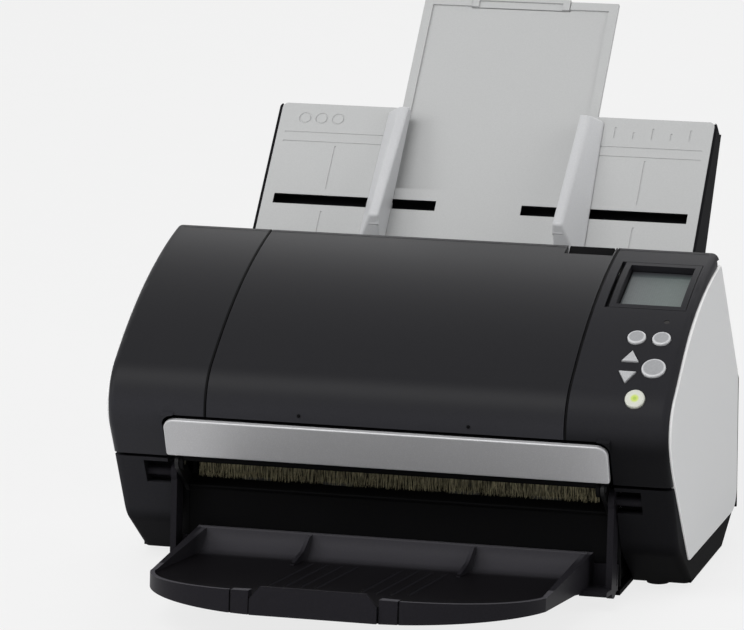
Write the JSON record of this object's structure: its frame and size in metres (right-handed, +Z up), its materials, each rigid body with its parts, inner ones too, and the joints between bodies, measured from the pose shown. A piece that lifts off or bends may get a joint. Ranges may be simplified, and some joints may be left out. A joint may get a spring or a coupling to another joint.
{
  "type": "document scanner",
  "caption": "Sheet-fed desktop document scanner with a hinged front cover, operator panel, sloping paper chute with side guides, and a fold-down stacker.",
  "frame": {"origin": "on the table, at the middle of the whole footprint", "axes": "+Z up, -Y to the front where the sheets come out, +X to the operator's right"},
  "size_m": [0.3, 0.4282, 0.2693],
  "materials": {
    "black_inner": "matt moulded ABS",
    "black_shell": "satin moulded ABS",
    "board_green": "solder mask",
    "bristle": "conductive fibre",
    "gear_plastic": "natural acetal",
    "glass_clear": "polished",
    "key_silver": "satin silver paint",
    "key_white": "translucent white, lit from behind",
    "lamp_amber": "tinted lens, unlit",
    "light_grey": "satin light grey ABS",
    "motor_metal": "plated can",
    "rubber": "matt",
    "screw_metal": "black zinc",
    "silver_paint": "satin silver-grey paint on ABS",
    "steel_shaft": "ground steel",
    "steel_sheet": "zinc plated sheet",
    "window_clear": "clear acrylic over the display"
  },
  "bodies": {
    "housing": {"base_pan": "black_shell", "rubber_feet": "rubber", "front_pillar_left": "black_shell", "front_pillar_right": "black_shell", "side_panel_left": "silver_paint", "side_panel_right": "silver_paint", "side_frame_left": "steel_sheet", "side_frame_right": "steel_sheet", "rear_cover": "black_shell", "screws": "screw_metal", "hinge_pins": "steel_shaft", "lower_paper_guide": "black_inner", "exit_wall": "black_inner", "rear_scan_unit": "black_inner", "rear_scan_glass": "glass_clear", "main_board": "board_green", "rear_sockets": "motor_metal", "drive_motor": "motor_metal", "pick_motor": "motor_metal", "chute_backing": "black_shell", "chute_face": "light_grey"},
    "cover": {"front_cover": "black_shell", "front_cover_left": "black_shell", "operator_panel": "black_shell", "exit_bar": "silver_paint", "cover_frame": "black_inner", "upper_paper_guide": "black_inner", "front_scan_unit": "black_inner", "front_scan_glass": "glass_clear", "exit_brush": "bristle", "display_module": "black_shell", "display_window": "window_clear", "panel_board": "board_green", "check_lamp": "lamp_amber"},
    "release_lever": {"cover_release_lever": "black_shell"},
    "latch": {"latch_hooks": "black_inner"},
    "menu_key": {"menu_button": "key_silver"},
    "stop_key": {"stop_button": "key_silver"},
    "scan_key": {"scan_button": "key_silver"},
    "power_key": {"power_button": "key_white"},
    "up_key": {"up_button": "key_silver"},
    "down_key": {"down_button": "key_silver"},
    "pick": {"pick_roller": "steel_shaft"},
    "brake": {"brake_roller": "steel_shaft"},
    "feed": {"feed_roller": "steel_shaft", "feed_gear": "gear_plastic"},
    "eject": {"eject_roller": "steel_shaft", "eject_gear": "gear_plastic"},
    "feed_pinch": {"feed_pinch_rollers": "steel_shaft"},
    "eject_pinch": {"eject_pinch_rollers": "steel_shaft"},
    "pinion": {"motor_pinion": "gear_plastic"},
    "idler": {"idler_gear": "gear_plastic"},
    "guide_left": {"side_guide_left": "light_grey"},
    "guide_right": {"side_guide_right": "light_grey"},
    "guide_wheel": {"guide_pinion": "gear_plastic"},
    "extension": {"chute_extension": "light_grey"},
    "extension_tip": {"second_extension": "light_grey"},
    "stacker": {"stacker_tray": "black_shell"},
    "drawer": {"stacker_extension": "black_shell"},
    "stopper": {"stacker_stopper": "black_shell"}
  },
  "joints": [
    {"name": "cover_hinge", "type": "hinge", "parent": "housing", "child": "cover", "pos_m": [0, -0.07111, 0.062], "axis": [1, 0, 0], "range_deg": [0, 60]},
    {"name": "release_lever_pivot", "type": "hinge", "parent": "cover", "child": "release_lever", "pos_m": [0.081, 0.01338, 0.153], "axis": [1, 0, 0], "range_deg": [-8, 0], "stiffness_Nm_per_rad": 0.3},
    {"name": "latch_shaft_turn", "type": "hinge", "parent": "cover", "child": "latch", "pos_m": [0, 0.01138, 0.1135], "axis": [1, 0, 0], "range_deg": [-5, 0]},
    {"name": "menu_press", "type": "slide", "parent": "cover", "child": "menu_key", "axis": [0, -0.4962, 0.8682], "range_m": [-0.0008, 0], "stiffness_N_per_m": 1500},
    {"name": "stop_press", "type": "slide", "parent": "cover", "child": "stop_key", "axis": [0, -0.4962, 0.8682], "range_m": [-0.0008, 0], "stiffness_N_per_m": 1500},
    {"name": "scan_press", "type": "slide", "parent": "cover", "child": "scan_key", "axis": [0, -0.5653, 0.8249], "range_m": [-0.0008, 0], "stiffness_N_per_m": 1500},
    {"name": "power_press", "type": "slide", "parent": "cover", "child": "power_key", "axis": [0, -0.7515, 0.6597], "range_m": [-0.0008, 0], "stiffness_N_per_m": 1500},
    {"name": "up_press", "type": "slide", "parent": "cover", "child": "up_key", "axis": [0, -0.5453, 0.8383], "range_m": [-0.0008, 0], "stiffness_N_per_m": 1500},
    {"name": "down_press", "type": "slide", "parent": "cover", "child": "down_key", "axis": [0, -0.583, 0.8125], "range_m": [-0.0008, 0], "stiffness_N_per_m": 1500},
    {"name": "pick_spin", "type": "hinge", "parent": "housing", "child": "pick", "pos_m": [0, 0.03726, 0.07405], "axis": [1, 0, 0], "continuous": true},
    {"name": "brake_spin", "type": "hinge", "parent": "cover", "child": "brake", "pos_m": [0, 0.02838, 0.09451], "axis": [1, 0, 0], "continuous": true},
    {"name": "feed_spin", "type": "hinge", "parent": "housing", "child": "feed", "pos_m": [0, 0.00631, 0.06498], "axis": [1, 0, 0], "continuous": true},
    {"name": "eject_spin", "type": "hinge", "parent": "housing", "child": "eject", "pos_m": [0, -0.04179, 0.04519], "axis": [1, 0, 0], "continuous": true},
    {"name": "feed_pinch_spin", "type": "hinge", "parent": "cover", "child": "feed_pinch", "pos_m": [0, 0.00022, 0.07902], "axis": [1, 0, 0], "continuous": true},
    {"name": "eject_pinch_spin", "type": "hinge", "parent": "cover", "child": "eject_pinch", "pos_m": [0, -0.04692, 0.05703], "axis": [1, 0, 0], "continuous": true},
    {"name": "pinion_spin", "type": "hinge", "parent": "housing", "child": "pinion", "pos_m": [-0.117, 0.02163, 0.05212], "axis": [1, 0, 0], "continuous": true},
    {"name": "idler_spin", "type": "hinge", "parent": "housing", "child": "idler", "pos_m": [-0.117, -0.01774, 0.05509], "axis": [1, 0, 0], "continuous": true},
    {"name": "guide_right_slide", "type": "slide", "parent": "housing", "child": "guide_right", "axis": [1, 0, 0], "range_m": [-0.0235, 0.0605]},
    {"name": "guide_left_slide", "type": "slide", "parent": "housing", "child": "guide_left", "axis": [-1, 0, 0], "range_m": [-0.0235, 0.0605]},
    {"name": "guide_pinion_spin", "type": "hinge", "parent": "housing", "child": "guide_wheel", "pos_m": [0, 0.11554, 0.1649], "axis": [0, -0.7373, 0.6756], "range_deg": [-497.2, 194.4]},
    {"name": "extension_slide", "type": "slide", "parent": "housing", "child": "extension", "axis": [0, 0.6756, 0.7373], "range_m": [-0.1, 0]},
    {"name": "extension_tip_slide", "type": "slide", "parent": "extension", "child": "extension_tip", "axis": [0, 0.6756, 0.7373], "range_m": [0, 0.07]},
    {"name": "stacker_hinge", "type": "hinge", "parent": "housing", "child": "stacker", "pos_m": [0, -0.06312, 0.0545], "axis": [1, 0, 0], "range_deg": [-96, 0]},
    {"name": "stacker_drawer_slide", "type": "slide", "parent": "stacker", "child": "drawer", "axis": [0, -0.9938, 0.1115], "range_m": [0, 0.06]},
    {"name": "stopper_hinge", "type": "hinge", "parent": "drawer", "child": "stopper", "pos_m": [0, -0.20898, 0.0285], "axis": [1, 0, 0], "range_deg": [0, 90]}
  ],
  "couplings": [
    {"joint": "eject_spin", "follows": "feed_spin", "ratio": 1},
    {"joint": "idler_spin", "follows": "feed_spin", "ratio": -0.85714},
    {"joint": "pinion_spin", "follows": "feed_spin", "ratio": -1.5},
    {"joint": "guide_left_slide", "follows": "guide_right_slide", "ratio": 1},
    {"joint": "guide_pinion_spin", "follows": "guide_right_slide", "rad_per_m": -142.86},
    {"joint": "latch_shaft_turn", "follows": "release_lever_pivot", "ratio": 0.625}
  ]
}
